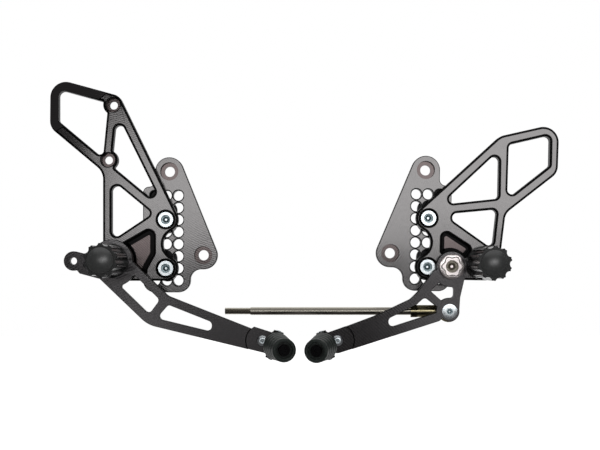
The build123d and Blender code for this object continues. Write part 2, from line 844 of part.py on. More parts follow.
def toe_spindle(toe):
    """Hinged spindle: knuckle on the pin, flange and core inside the rubber."""
    peg = leaning(toe)
    knuckle = across(toe, toe_pin_out, toe_pin_height, -knuckle_half_width)
    core_end = toe_stack - toe_rubber_mouth_depth
    with BuildPart() as spindle:
        with BuildSketch(knuckle):
            Circle(knuckle_radius)
        extrude(amount=2 * knuckle_half_width)
        with BuildSketch(peg):
            Rectangle(2 * knuckle_half_width, 2 * knuckle_radius)
        extrude(amount=toe_flange_start)
        with BuildSketch(peg.offset(toe_flange_start)):
            Circle(toe_flange / 2)
        extrude(amount=toe_flange_thick)
        with BuildSketch(peg.offset(toe_flange_start)):
            Circle(toe_core / 2)
        extrude(amount=core_end - toe_flange_start)
        with BuildSketch(knuckle):
            Circle(toe_pin / 2 + running_gap)
        extrude(amount=2 * knuckle_half_width, mode=Mode.SUBTRACT)
        with BuildSketch(peg.offset(core_end)):
            Circle(toe_screw / 2)
        extrude(amount=-end_screw_depth, mode=Mode.SUBTRACT)
    return spindle.part


def toe_rubber(toe):
    """Tapered rubber sleeve in rings, hollowed at its mouth."""
    peg = leaning(toe)
    base = toe_flange_start + toe_flange_thick
    pitch = toe_rubber_length / toe_rubber_rings
    half_groove = toe_rubber_groove_width / 2
    profile = [(toe_core / 2, 0), (toe_rubber_base / 2, 0)]
    for ring_count in range(1, toe_rubber_rings):
        height = ring_count * pitch
        wide = (toe_rubber_base + (toe_rubber_tip - toe_rubber_base) * height / toe_rubber_length) / 2
        profile.append((wide, height - half_groove))
        profile.append((wide - toe_rubber_groove, height))
        profile.append((wide, height + half_groove))
    profile += [(toe_rubber_tip / 2, toe_rubber_length), (toe_rubber_mouth / 2, toe_rubber_length)]
    floor = toe_rubber_length - toe_rubber_mouth_depth
    profile += [(toe_rubber_mouth / 2, floor), (toe_core / 2, floor)]
    section = Plane(origin=peg.offset(base).origin, x_dir=peg.x_dir, z_dir=peg.y_dir * -1)
    with BuildPart() as rubber:
        with BuildSketch(section):
            with BuildLine():
                Polyline(*profile, close=True)
            make_face()
        revolve(axis=Axis(section.origin, peg.z_dir))
    return rubber.part


def toe_end_screw(toe):
    """Flat screw in the rubber's mouth that holds the sleeve on its core."""
    peg = leaning(toe)
    seat = toe_stack - toe_rubber_mouth_depth
    with BuildPart() as screw:
        with BuildSketch(peg.offset(seat)):
            Circle(end_screw_head / 2)
        extrude(amount=end_screw_head_height)
        chamfer(screw.edges().filter_by(GeomType.CIRCLE), end_screw_edge)
        with BuildSketch(peg.offset(seat - end_screw_depth)):
            Circle(toe_screw / 2)
        extrude(amount=end_screw_depth)
        with BuildSketch(peg.offset(seat + end_screw_head_height)):
            RegularPolygon(end_screw_socket / 2, 6, major_radius=False)
        extrude(amount=-end_screw_socket_depth, mode=Mode.SUBTRACT)
    return screw.part


def pivot_bolt(face, place):
    """Shoulder bolt of the gear lever: star recess, socket, plain shoulder and threaded end."""
    with BuildPart() as bolt:
        with BuildSketch(face.offset(lever_front + lever_gap)):
            with Locations(place):
                Circle(pivot_head / 2)
        extrude(amount=pivot_head_height)
        chamfer(bolt.faces().sort_by(Axis.Y)[0].edges(), pivot_head_edge)
        with BuildSketch(face.offset(bracket_front)):
            with Locations(place):
                Circle(pivot_shoulder / 2)
        extrude(amount=lever_front + lever_gap - bracket_front)
        with BuildSketch(face.offset(bracket_back + thread_short)):
            with Locations(place):
                Circle(bolt_shaft / 2)
        extrude(amount=bracket_thick - thread_short)
        top = face.offset(lever_front + lever_gap + pivot_head_height)
        with BuildSketch(top):
            with Locations(place):
                RegularPolygon(pivot_star / 2, 3, rotation=90)
                RegularPolygon(pivot_star / 2, 3, rotation=-90)
                Circle(pivot_star_valley / 2)
        extrude(amount=-pivot_star_depth, mode=Mode.SUBTRACT)
        with BuildSketch(top):
            with Locations(place):
                RegularPolygon(pivot_socket / 2, 6, major_radius=False)
        extrude(amount=-pivot_socket / 2, mode=Mode.SUBTRACT)
    return bolt.part


def rod_axis():
    """Plane at the rod end's ball, z along the rod and x toward the rider."""
    ball_height = lever_back - ball_spacer - ball_width / 2
    middle = gear_face.from_local_coords((rod_joint[0], rod_joint[1], ball_height))
    return Plane(origin=middle, x_dir=(0, -1, 0), z_dir=(-1, 0, 0))


def rod_end():
    """Rod end: round eye on a threaded shank."""
    rod = rod_axis()
    eye = Plane(origin=rod.origin, x_dir=(1, 0, 0), z_dir=(0, -1, 0))
    with BuildPart() as housing:
        with BuildSketch(eye.offset(-rod_eye_width / 2)):
            Circle(rod_eye / 2)
        extrude(amount=rod_eye_width)
        chamfer(housing.edges().filter_by(GeomType.CIRCLE), rod_eye_edge)
        with BuildSketch(rod.offset(rod_shank_start)):
            Circle(rod_shank / 2)
        extrude(amount=rod_shank_length - rod_shank_start)
        with Locations(rod.origin):
            Sphere(ball_diameter / 2 + running_gap, mode=Mode.SUBTRACT)
        with BuildSketch(rod.offset(rod_shank_length)):
            Circle(rod_thread / 2)
        extrude(amount=rod_start - rod_shank_length, mode=Mode.SUBTRACT)
    return housing.part


def rod_ball():
    """Ball of the rod end, flat on both sides and bored for its bolt."""
    rod = rod_axis()
    eye = Plane(origin=rod.origin, x_dir=(1, 0, 0), z_dir=(0, -1, 0))
    with BuildPart() as ball:
        with Locations(rod.origin):
            Sphere(ball_diameter / 2)
        with BuildSketch(eye.offset(-ball_width / 2)):
            Circle(ball_diameter)
        extrude(amount=ball_width, mode=Mode.INTERSECT)
        with BuildSketch(eye.offset(-ball_width / 2)):
            Circle(rod_bolt / 2 + thread_gap)
        extrude(amount=ball_width, mode=Mode.SUBTRACT)
    return ball.part


def rod_bolt_part():
    """Countersunk bolt through lever, spacer, ball and nut."""
    place = rod_joint
    with BuildPart() as bolt:
        with BuildSketch(gear_face.offset(lever_front)):
            with Locations(place):
                Circle(rod_bolt_head / 2)
        extrude(amount=-rod_head_depth, taper=45)
        with BuildSketch(gear_face.offset(rod_bolt_end)):
            with Locations(place):
                Circle(rod_bolt / 2)
        extrude(amount=lever_front - rod_head_depth - rod_bolt_end)
        with BuildSketch(gear_face.offset(lever_front)):
            with Locations(place):
                RegularPolygon(rod_bolt_socket / 2, 6, major_radius=False)
        extrude(amount=-rod_bolt_socket_depth, mode=Mode.SUBTRACT)
    return bolt.part


def hexagon_nut(plane, across_flats, bore_radius, thick):
    """Hexagon nut with its edges turned off."""
    with BuildPart() as nut:
        with BuildSketch(plane):
            RegularPolygon(across_flats / 2, 6, major_radius=False)
        extrude(amount=thick)
        with BuildSketch(plane):
            Circle(across_flats / 2 * nut_crown)
        extrude(amount=thick, mode=Mode.INTERSECT)
        with BuildSketch(plane):
            Circle(bore_radius)
        extrude(amount=thick, mode=Mode.SUBTRACT)
    return nut.part


def linkage_rod():
    """Plain rod, turned down and threaded at both ends."""
    rod = rod_axis()
    body_start = rod_shank_length + lock_nut_thick
    body_end = rod_reach - rod_thread_length
    with BuildPart() as bar:
        with BuildSketch(rod.offset(rod_start)):
            Circle(rod_thread / 2)
        extrude(amount=rod_reach - rod_start)
        with BuildSketch(rod.offset(body_start)):
            Circle(rod_diameter / 2)
        extrude(amount=body_end - body_start)
        chamfer(bar.faces().sort_by(Axis.X)[0].edges(), bolt_edge)
    return bar.part


parts = {}
for side, face, hand in (("brake", brake_face, 1), ("gear", gear_face, -1)):
    parts[side + "_plate"] = adjuster_plate(face, hand)
    parts[side + "_bracket_bolts"] = Compound(children=bracket_bolts(face, hand))
    parts[side + "_nut_bars"] = Compound(children=nut_bars(face, hand))
parts["brake_bracket"] = brake_bracket
parts["gear_bracket"] = gear_bracket
parts["brake_pedal"] = pedal
parts["gear_lever"] = gear_lever

washer_front = bracket_front + washer_thick
sleeve_run = sleeve_outer + 2 * running_gap
washer = 2 * (pocket_rim - washer_inset)
washer_bore = sleeve_outer + 2 * washer_clearance
parts["pedal_washer"] = ring(brake_face, brake_peg, washer, washer_bore, bracket_front, washer_front)
parts["pedal_sleeve"] = ring(brake_face, brake_peg, sleeve_outer, sleeve_inner, bracket_front, pedal_peg_seat)
parts["pedal_bush"] = ring(brake_face, brake_peg, pedal_bush_outer, sleeve_run, lever_back, lever_front)
shoulder_run = pivot_shoulder + 2 * running_gap
washer = 2 * lever_hub - washer_inset
washer_bore = pivot_shoulder + 2 * washer_clearance
parts["lever_washer"] = ring(gear_face, gear_pivot, washer, washer_bore, bracket_front, washer_front)
parts["lever_bush"] = ring(gear_face, gear_pivot, lever_bush_outer, shoulder_run, lever_back, lever_front)
parts["pivot_bolt"] = pivot_bolt(gear_face, gear_pivot)
collar = peg_flange - 2 * peg_collar_inset
parts["peg_collar"] = ring(gear_face, gear_peg, collar, peg_bore, bracket_front, gear_peg_seat)

for side, face, place, peg_seat, lug in (
    ("brake", brake_face, brake_peg, pedal_peg_seat, brake_peg_lug),
    ("gear", gear_face, gear_peg, gear_peg_seat, gear_peg_lug),
):
    parts[side + "_peg"] = foot_peg(face, place, peg_seat, lug)
    parts[side + "_peg_cap"] = peg_cap(face, place, peg_seat)
    bolt_seat = peg_seat + peg_floor
    bolt_end = bracket_back + thread_short
    parts[side + "_peg_bolt"] = socket_bolt(
        face, place, bolt_seat, bolt_head, bolt_head_height, bolt_shaft, bolt_end, bolt_socket
    )

for side, toe in (("brake", brake_toe), ("gear", gear_toe)):
    parts[side + "_toe_block"] = toe_block(toe)
    parts[side + "_toe_screw"] = toe_screw_part(toe)
    parts[side + "_toe_pin"] = toe_pin_part(toe)
    parts[side + "_toe_spring"] = Compound(children=toe_springs(toe))
    parts[side + "_toe_spindle"] = toe_spindle(toe)
    parts[side + "_toe_rubber"] = toe_rubber(toe)
    parts[side + "_toe_end_screw"] = toe_end_screw(toe)

parts["rod_end"] = rod_end()
parts["rod_ball"] = rod_ball()
parts["rod_bolt"] = rod_bolt_part()
spacer_bore = rod_bolt + 2 * thread_gap
spacer_back = lever_back - ball_spacer
parts["rod_spacer"] = ring(gear_face, rod_joint, ball_spacer_outer, spacer_bore, spacer_back, lever_back)
ball_back = lever_back - ball_spacer - ball_width
nut_plane = Plane(
    origin=gear_face.from_local_coords((rod_joint[0], rod_joint[1], ball_back - rod_nut_thick)),
    x_dir=gear_face.x_dir,
    z_dir=gear_face.z_dir,
)
parts["rod_nut"] = hexagon_nut(nut_plane, rod_nut_across, rod_bolt / 2 + thread_gap, rod_nut_thick)
lock_nut_plane = rod_axis().offset(rod_shank_length)
parts["lock_nut"] = hexagon_nut(lock_nut_plane, lock_nut_across, rod_thread / 2 + thread_gap, lock_nut_thick)
parts["shift_rod"] = linkage_rod()

os.makedirs("parts", exist_ok=True)
for name, part in parts.items():
    part.label = name
    export_step(part, f"parts/{name}.step")
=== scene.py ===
import bpy
import json
from math import asin, atan2, cos, pi, radians, sin
from mathutils import Matrix, Vector


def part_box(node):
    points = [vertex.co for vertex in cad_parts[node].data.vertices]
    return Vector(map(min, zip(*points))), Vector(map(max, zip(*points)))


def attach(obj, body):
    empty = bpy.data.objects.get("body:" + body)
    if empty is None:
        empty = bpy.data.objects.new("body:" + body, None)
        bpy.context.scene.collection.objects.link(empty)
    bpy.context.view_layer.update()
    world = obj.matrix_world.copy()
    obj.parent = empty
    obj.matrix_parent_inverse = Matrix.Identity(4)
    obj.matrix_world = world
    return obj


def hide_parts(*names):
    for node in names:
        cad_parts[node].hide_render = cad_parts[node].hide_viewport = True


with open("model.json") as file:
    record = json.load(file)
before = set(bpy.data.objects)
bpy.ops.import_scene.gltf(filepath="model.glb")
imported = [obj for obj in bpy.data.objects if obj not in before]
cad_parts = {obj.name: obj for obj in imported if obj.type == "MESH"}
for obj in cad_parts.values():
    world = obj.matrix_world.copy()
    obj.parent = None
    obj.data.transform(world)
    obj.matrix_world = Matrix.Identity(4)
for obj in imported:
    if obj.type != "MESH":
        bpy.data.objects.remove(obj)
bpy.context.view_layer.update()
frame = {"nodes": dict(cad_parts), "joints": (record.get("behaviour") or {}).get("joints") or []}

MM = 0.001
bpy.ops.object.select_all(action="DESELECT")
scene = bpy.context.scene
scene.view_settings.view_transform = "Standard"


# The studio: the set hangs in front of a white wall, over a pale floor. A black
# tent with a soft white panel in it stands round the camera, so that the flat
# anodised faces go from grey at the top to black at the bottom.
view_x, view_z, view_distance = 107.9 * MM, -75.6 * MM, 1300 * MM
camera_data = bpy.data.cameras.new("photo_camera")
camera = bpy.data.objects.new("photo_camera", camera_data)
scene.collection.objects.link(camera)
camera.location = (view_x, -view_distance, view_z)
camera.rotation_euler = (radians(90), 0, 0)
camera_data.lens = 93.76
camera_data.shift_y = 0.0633
camera_data.clip_start = 0.05
camera_data.clip_end = 50
scene.camera = camera


def figure(tree, operation, first, second=0.0, third=0.0):
    """A sum worked out in a node tree, from sockets or numbers."""
    made = tree.nodes.new("ShaderNodeMath")
    made.operation = operation
    for place, value in enumerate((first, second, third)):
        if isinstance(value, bpy.types.NodeSocket):
            tree.links.new(value, made.inputs[place])
        else:
            made.inputs[place].default_value = value
    return made.outputs[0]


def seen_or_mirrored(tree):
    """1 for rays from the camera, and for those that gloss or glass sends on."""
    rays = tree.nodes.new("ShaderNodeLightPath").outputs
    gloss = figure(tree, "MAXIMUM", rays["Is Glossy Ray"], rays["Is Transmission Ray"])
    return figure(tree, "MAXIMUM", rays["Is Camera Ray"], gloss)


world = bpy.data.worlds.new("white_room")
scene.world = world
world.use_nodes = True
room = world.node_tree.nodes["Background"]
room.inputs["Color"].default_value = (1, 1, 1, 1)
room_level = figure(world.node_tree, "MULTIPLY_ADD", seen_or_mirrored(world.node_tree), 0.55, 0.45)
world.node_tree.links.new(room_level, room.inputs["Strength"])

floor_height = -0.42
bpy.ops.mesh.primitive_grid_add(x_subdivisions=2, y_subdivisions=2, size=12,
                                location=(view_x, 0, floor_height))
studio_floor = bpy.context.object
studio_floor.name = "studio_floor"
floor_paint = bpy.data.materials.new("floor_paint")
floor_paint.use_nodes = True
floor_shader = floor_paint.node_tree.nodes["Principled BSDF"]
floor_shader.inputs["Base Color"].default_value = (0.8, 0.8, 0.8, 1)
floor_shader.inputs["Roughness"].default_value = 0.8
floor_shader.inputs["Emission Color"].default_value = (1, 1, 1, 1)
floor_glow = figure(floor_paint.node_tree, "MULTIPLY", seen_or_mirrored(floor_paint.node_tree), 0.72)
floor_paint.node_tree.links.new(floor_glow, floor_shader.inputs["Emission Strength"])
studio_floor.data.materials.append(floor_paint)

tent_cloth = bpy.data.materials.new("tent_cloth")
tent_cloth.use_nodes = True
tent_tree = tent_cloth.node_tree
tent_tree.nodes.remove(tent_tree.nodes["Principled BSDF"])
tent_dark = tent_tree.nodes.new("ShaderNodeEmission")
tent_dark.inputs["Color"].default_value = (1.0, 0.95, 0.97, 1)
tent_dark.inputs["Strength"].default_value = 0.1
tent_clear = tent_tree.nodes.new("ShaderNodeBsdfTransparent")
tent_mix = tent_tree.nodes.new("ShaderNodeMixShader")
tent_rays = tent_tree.nodes.new("ShaderNodeLightPath").outputs
tent_tree.links.new(tent_rays["Is Glossy Ray"], tent_mix.inputs["Fac"])
tent_tree.links.new(tent_clear.outputs[0], tent_mix.inputs[1])
tent_tree.links.new(tent_dark.outputs[0], tent_mix.inputs[2])
tent_tree.links.new(tent_mix.outputs[0], tent_tree.nodes["Material Output"].inputs["Surface"])
tent_half = (2.4, 1.25, 1.4)
bpy.ops.mesh.primitive_cube_add(size=2, location=(view_x, -0.95, floor_height + 0.005 + tent_half[2]))
tent = bpy.context.object
tent.name = "tent"
tent.scale = tent_half
bpy.ops.object.transform_apply(location=True, scale=True)


def pick_faces(piece, wanted):
    """Goes into edit mode with only the wanted faces selected."""
    bpy.ops.object.mode_set(mode="EDIT")
    bpy.ops.mesh.select_mode(type="FACE")
    bpy.ops.mesh.select_all(action="DESELECT")
    bpy.ops.object.mode_set(mode="OBJECT")
    for face in piece.data.polygons:
        face.select = wanted(face)
    bpy.ops.object.mode_set(mode="EDIT")


pick_faces(tent, lambda face: face.normal.y > 0.5)
bpy.ops.mesh.delete(type="FACE")
bpy.ops.object.mode_set(mode="OBJECT")
tent.data.materials.append(tent_cloth)

for name, place, tip, size, height, power in (
    ("low_panel", (0.24, -1.62, 0.065), 90, 1.02, 0.25, 2.0),
    ("top_panel", (0.5, -1.62, 0.265), 90, 0.5, 0.15, 0.6),
    ("ceiling", (0.108, -0.7, 1.2), 0, 2.4, 1.6, 4.2),
    ("pedal_spot", (-0.2, -1.62, -0.2), 90, 0.13, 0.12, 0.065),
    ("pedal_card", (-0.03, -1.62, -0.22), 90, 0.2, 0.16, 0.035),
    ("lever_card", (0.385, -1.62, -0.2), 90, 0.16, 0.16, 0.08),
):
    lamp_data = bpy.data.lights.new(name, "AREA")
    lamp_data.shape = "RECTANGLE"
    lamp_data.size = size
    lamp_data.size_y = height
    lamp_data.energy = power
    lamp = bpy.data.objects.new(name, lamp_data)
    lamp.location = place
    lamp.rotation_euler = (radians(tip), 0, 0)
    scene.collection.objects.link(lamp)


# Adjuster plates: sawn from 10 mm aluminium, skimmed by a cutter that leaves
# faint arcs, drilled with a grid of holes and black anodised. The faces come
# out satin; the edges and bores, and a ring round each hole, are painted black
# as shade, and the floors of the bolt recesses are darker and brownish.
def spread(tree, value, low, high, to_low=0.0, to_high=1.0):
    """Maps a value from one range to another; the second range may be sockets."""
    made = tree.nodes.new("ShaderNodeMapRange")
    tree.links.new(value, made.inputs["Value"])
    for name, given in (("From Min", low), ("From Max", high), ("To Min", to_low), ("To Max", to_high)):
        if isinstance(given, bpy.types.NodeSocket):
            tree.links.new(given, made.inputs[name])
        else:
            made.inputs[name].default_value = given
    return made.outputs["Result"]


def blended(tree, amount, first, second):
    """Goes from the first colour to the second."""
    made = tree.nodes.new("ShaderNodeMix")
    made.data_type = "RGBA"
    tree.links.new(amount, made.inputs["Factor"])
    for name, given in (("A", first), ("B", second)):
        if isinstance(given, bpy.types.NodeSocket):
            tree.links.new(given, made.inputs[name])
        else:
            made.inputs[name].default_value = (*given, 1)
    return made.outputs["Result"]


def pattern(tree, kind, vector, **settings):
    """A noise or wave pattern; a word sets its kind, a number its input."""
    made = tree.nodes.new(kind)
    for name, value in settings.items():
        if isinstance(value, str):
            setattr(made, name, value)
        else:
            made.inputs[name.replace("_", " ").title()].default_value = value
    tree.links.new(vector, made.inputs["Vector"])
    return made.outputs["Fac"]


def raised(tree, height, depth, below=None):
    """Bump of a depth in mm, over another bump."""
    made = tree.nodes.new("ShaderNodeBump")
    made.inputs["Distance"].default_value = depth * MM
    tree.links.new(height, made.inputs["Height"])
    if below:
        tree.links.new(below, made.inputs["Normal"])
    return made.outputs[0]


def length_of(tree, across, down):
    """Length of an offset given by its two parts."""
    across_squared = figure(tree, "MULTIPLY", across, across)
    down_squared = figure(tree, "MULTIPLY", down, down)
    return figure(tree, "SQRT", figure(tree, "ADD", across_squared, down_squared))


def anodised(name, face_tone, edge_shade_tone, arcs_at, arc_gap, recess=None, recess_tone=None,
             grid=None, seams=()):
    """Black anodising over the cutter's arcs, which are centred beside the piece.

    Faces that turn away from the front take the edge tone, black painted as shade,
    faces deeper than the recess take its darker tone, a ring painted as shade stands
    round each hole of the grid, and a seam is a dark circle: (middle, radius, width).
    """
    made = bpy.data.materials.new(name)
    made.use_nodes = True
    tree = made.node_tree
    shader = tree.nodes["Principled BSDF"]
    shader.inputs["Specular IOR Level"].default_value = 0.03
    place = tree.nodes.new("ShaderNodeTexCoord")
    normal = tree.nodes.new("ShaderNodeSeparateXYZ")
    tree.links.new(place.outputs["Normal"], normal.inputs[0])
    spot = tree.nodes.new("ShaderNodeSeparateXYZ")
    tree.links.new(place.outputs["Object"], spot.inputs[0])
    facing = spread(tree, figure(tree, "ABSOLUTE", normal.outputs["Y"]), 0.93, 0.99)
    tree.links.new(facing, shader.inputs["Metallic"])
    # Faces turned away from the front, chamfers and bore walls, get the edge tone: painted shade.
    color = blended(tree, facing, edge_shade_tone, face_tone)
    if recess:
        sunk = spread(tree, spot.outputs["Y"], recess - 0.2 * MM, recess)
        sunk = figure(tree, "MULTIPLY", sunk, spread(tree, normal.outputs["Y"], -0.93, -0.99))
        color = blended(tree, sunk, color, recess_tone)
    # A dark ring of painted shade round each hole of the grid.
    if grid:
        hole_at, turned_by, pitch_across, pitch_down, rim = grid
        level = tree.nodes.new("ShaderNodeMapping")
        level.vector_type = "TEXTURE"
        level.inputs["Location"].default_value = hole_at
        level.inputs["Rotation"].default_value = (0, turned_by, 0)
        tree.links.new(place.outputs["Object"], level.inputs["Vector"])
        along = tree.nodes.new("ShaderNodeSeparateXYZ")
        tree.links.new(level.outputs[0], along.inputs[0])
        across = figure(tree, "WRAP", along.outputs["X"], pitch_across / 2, -pitch_across / 2)
        down = figure(tree, "WRAP", along.outputs["Z"], pitch_down / 2, -pitch_down / 2)
        ring = spread(tree, length_of(tree, across, down), rim, rim - 0.12 * MM)
        columns = figure(tree, "COMPARE", along.outputs["X"], 0.0, 1.5 * pitch_across)
        rows = figure(tree, "COMPARE", along.outputs["Z"], -1.5 * pitch_down, 4 * pitch_down)
        ring = figure(tree, "MULTIPLY", ring, figure(tree, "MULTIPLY", columns, rows))
        color = blended(tree, ring, color, edge_shade_tone)
    for middle, radius, width in seams:
        across = figure(tree, "SUBTRACT", spot.outputs["X"], middle.x)
        down = figure(tree, "SUBTRACT", spot.outputs["Z"], middle.z)
        seam = figure(tree, "COMPARE", length_of(tree, across, down), radius, width / 2)
        color = blended(tree, seam, color, edge_shade_tone)

    grain = pattern(tree, "ShaderNodeTexNoise", place.outputs["Object"], scale=420.0, detail=3.0)
    centred = tree.nodes.new("ShaderNodeMapping")
    centred.inputs["Location"].default_value = Vector(arcs_at) * -MM
    tree.links.new(place.outputs["Object"], centred.inputs["Vector"])
    arcs = pattern(tree, "ShaderNodeTexWave", centred.outputs[0], wave_type="RINGS", rings_direction="Y",
                   scale=pi / 10 / (arc_gap * MM), distortion=3.0, detail=2.0, detail_scale=2.0)
    grain_tone = spread(tree, grain, 0, 1, 0.93, 1.07)
    arc_tone = spread(tree, arcs, 0, 1, 0.95, 1.05)
    tone = figure(tree, "MULTIPLY", grain_tone, arc_tone)
    toned = tree.nodes.new("ShaderNodeVectorMath")
    toned.operation = "MULTIPLY"
    tree.links.new(color, toned.inputs[0])
    tree.links.new(tone, toned.inputs[1])
    tree.links.new(toned.outputs[0], shader.inputs["Base Color"])
    roughness = spread(tree, facing, 0, 1, 0.35, spread(tree, arcs, 0, 1, 0.12, 0.16))
    tree.links.new(roughness, shader.inputs["Roughness"])
    sway = pattern(tree, "ShaderNodeTexNoise", place.outputs["Object"], scale=22.0, detail=1.0)
    bumps = raised(tree, arcs, 0.008)
    bumps = raised(tree, sway, 0.2, bumps)
    bumps = raised(tree, grain, 0.0015, bumps)
    tree.links.new(bumps, shader.inputs["Normal"])
    return made


def wear(name, made):
    """Gives a CAD node its finish."""
    mesh = frame["nodes"][name].data
    mesh.materials.clear()
    mesh.materials.append(made)


satin = (0.142, 0.138, 0.138)
# Black laid as painted shade on every face that turns away from the front.
edge_shade_black = (0.006, 0.006, 0.006)
recess_brown = (0.095, 0.079, 0.078)
plate_pitch = (9.6 * MM, 10 * MM)
bolt_rows_apart = 4 * plate_pitch[1]
hole_bore = 8.4 * MM
# Radius out to which a ring of painted shade circles each grid hole.
hole_shade_ring = hole_bore / 2 + 0.95 * MM
plate_arcs_at, plate_arc_gap, plate_recess = (60, 0, 20), 1.7, -5.2 * MM
bolt_head = 13 * MM
bolt_places, side_turns = {}, {}
for side in ("brake", "gear"):
    low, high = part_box(side + "_bracket_bolts")
    upper = Vector((high[0] - bolt_head / 2, high[1], high[2] - bolt_head / 2))
    lower = Vector((low[0] + bolt_head / 2, high[1], low[2] + bolt_head / 2))
    bolt_places[side] = (upper, lower)
    side_turns[side] = asin((upper.x - lower.x) / bolt_rows_apart)
    grid = ((upper.x, 0, upper.z), side_turns[side], *plate_pitch, hole_shade_ring)
    finish = anodised(side + "_plate_finish", satin, edge_shade_black, plate_arcs_at, plate_arc_gap,
                      plate_recess, recess_brown, grid)
    wear(side + "_plate", finish)


# Brackets with their heel guards: milled from 10.5 mm aluminium and anodised
# as the plates are. The edges are broken and painted black as shade, as is a
# thin border round the front face; the blind pockets are darker and brownish,
# with a wide black border of painted shade, and the bolt seats are painted black
# as shade.
def twin(piece, name):
    """A copy with its own mesh."""
    made = piece.copy()
    made.data = piece.data.copy()
    made.name = name
    scene.collection.objects.link(made)
    return made


def own_mesh(node, name):
    """A welded copy of a CAD node, to be worked on further."""
    bpy.ops.object.select_all(action="DESELECT")
    piece = twin(frame["nodes"][node], name)
    piece.select_set(True)
    bpy.context.view_layer.objects.active = piece
    bpy.ops.mesh.customdata_custom_splitnormals_clear()
    bpy.ops.object.mode_set(mode="EDIT")
    bpy.ops.mesh.select_all(action="SELECT")
    bpy.ops.mesh.remove_doubles(threshold=0.001 * MM)
    bpy.ops.object.mode_set(mode="OBJECT")
    piece.data.materials.clear()
    return piece


def painted(piece, number):
    """Gives the picked faces the material of that number, and leaves edit mode."""
    bpy.ops.object.mode_set(mode="OBJECT")
    for face in piece.data.polygons:
        if face.select:
            face.material_index = number


def shade_bordered(piece, level, width=None):
    """Paints the flat faces at a level black as shade, and insets them so that only a border of painted shade
    stays.
    """
    pick_faces(piece, lambda face: face.normal.y < -0.99 and abs(face.center.y - level) < 0.05 * MM)
    painted(piece, 1)
    if width:
        bpy.ops.object.mode_set(mode="EDIT")
        bpy.ops.mesh.inset(thickness=width, depth=0)
        painted(piece, 0)


def fit(piece, made, body, node):
    """Gives a finished piece its material and hangs it on its body in the node's stead."""
    if not piece.data.materials:
        piece.data.materials.append(made)
    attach(piece, body)
    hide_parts(node)


bracket_finish = anodised("bracket_finish", satin, edge_shade_black, (-90, 0, -140), 1.5, -14.7 * MM, recess_brown)
# Black painted as shade: a border round the front face, a wide border round the pocket floors, and the whole
# bolt seats.
painted_shade_black = (0.004, 0.004, 0.004)
painted_shade_finish = anodised("painted_shade_finish", painted_shade_black, painted_shade_black, (-90, 0, -140), 1.5)
bracket_front, pocket_floor, bolt_seat = -20.5 * MM, -14.5 * MM, -12.3 * MM
front_face_shade = 0.75 * MM
for side, pocket_shade in (("brake", 3.6 * MM), ("gear", 2.6 * MM)):
    bracket = own_mesh(side + "_bracket", side + "_bracket_finished")
    bracket.data.materials.append(bracket_finish)
    bracket.data.materials.append(painted_shade_finish)
    shade_bordered(bracket, bracket_front, front_face_shade)
    shade_bordered(bracket, pocket_floor, pocket_shade)
    # The bolt seats are painted black all over, as shade under the bolt heads.
    shade_bordered(bracket, bolt_seat)
    bpy.ops.object.shade_smooth_by_angle(angle=radians(32))
    fit(bracket, bracket_finish, "frame_side", side + "_bracket")


# Bracket bolts: M8 socket-head bolts in bright zinc, two through each bracket
# into a threaded bar behind the plate. The head's rim is knurled, and a drill
# left a cone at the bottom of the hexagon.
def turned(name, profile, sides=72, peaks=0):
    """A solid turned about +Z, ring by ring, in mm: (radius, height) or (radius, height, ripple)."""
    bpy.ops.object.select_all(action="DESELECT")
    rings = [(*ring, 0.0)[:3] for ring in profile]
    radius, height, ripple = rings[0]
    bpy.ops.mesh.primitive_circle_add(vertices=sides, radius=radius * MM, fill_type="NGON",
                                      location=(0, 0, height * MM))
    piece = bpy.context.object
    piece.name = name
    bpy.ops.object.transform_apply(location=True)
    bpy.ops.object.mode_set(mode="EDIT")
    bpy.ops.mesh.select_mode(type="FACE")
    bpy.ops.mesh.select_all(action="SELECT")
    for next_radius, next_height, next_ripple in rings[1:]:
        rise = (next_height - height) * MM
        bpy.ops.mesh.extrude_region_move(TRANSFORM_OT_translate={"value": (0, 0, rise)})
        middle = (0, 0, next_height * MM)
        if ripple or next_ripple:
            swell(piece, peaks, (radius, ripple), (next_radius, next_ripple), middle)
        else:
            size = next_radius / radius
            bpy.ops.transform.resize(value=(size, size, 1), center_override=middle)
        radius, height, ripple = next_radius, next_height, next_ripple
    bpy.ops.mesh.select_all(action="SELECT")
    bpy.ops.mesh.normals_make_consistent(inside=False)
    bpy.ops.object.mode_set(mode="OBJECT")
    return piece


def swell(piece, peaks, was, now, middle):
    """Scales the picked ring from one rippled outline to the next."""
    bpy.ops.object.mode_set(mode="OBJECT")
    ring = [v.index for v in piece.data.vertices if v.select]
    waves = {}
    for index in ring:
        spot = piece.data.vertices[index].co
        waves.setdefault(round(cos(peaks * atan2(spot.y, spot.x)), 3), []).append(index)
    bpy.ops.object.mode_set(mode="EDIT")
    bpy.ops.mesh.select_mode(type="VERT")
    for wave, members in [*waves.items(), (None, ring)]:
        bpy.ops.mesh.select_all(action="DESELECT")
        bpy.ops.object.mode_set(mode="OBJECT")
        for index in members:
            piece.data.vertices[index].select = True
        bpy.ops.object.mode_set(mode="EDIT")
        if wave is not None:
            size = (now[0] + now[1] * wave) / (was[0] + was[1] * wave)
            bpy.ops.transform.resize(value=(size, size, 1), center_override=middle)
    bpy.ops.mesh.select_mode(type="FACE")


def cut_away(piece, cutter):
    """Takes the cutter's shape out of the piece."""
    cut = piece.modifiers.new("cut", "BOOLEAN")
    cut.operation = "DIFFERENCE"
    cut.object = cutter
    bpy.context.view_layer.objects.active = piece
    bpy.ops.object.modifier_apply(modifier=cut.name)
    bpy.data.objects.remove(cutter)


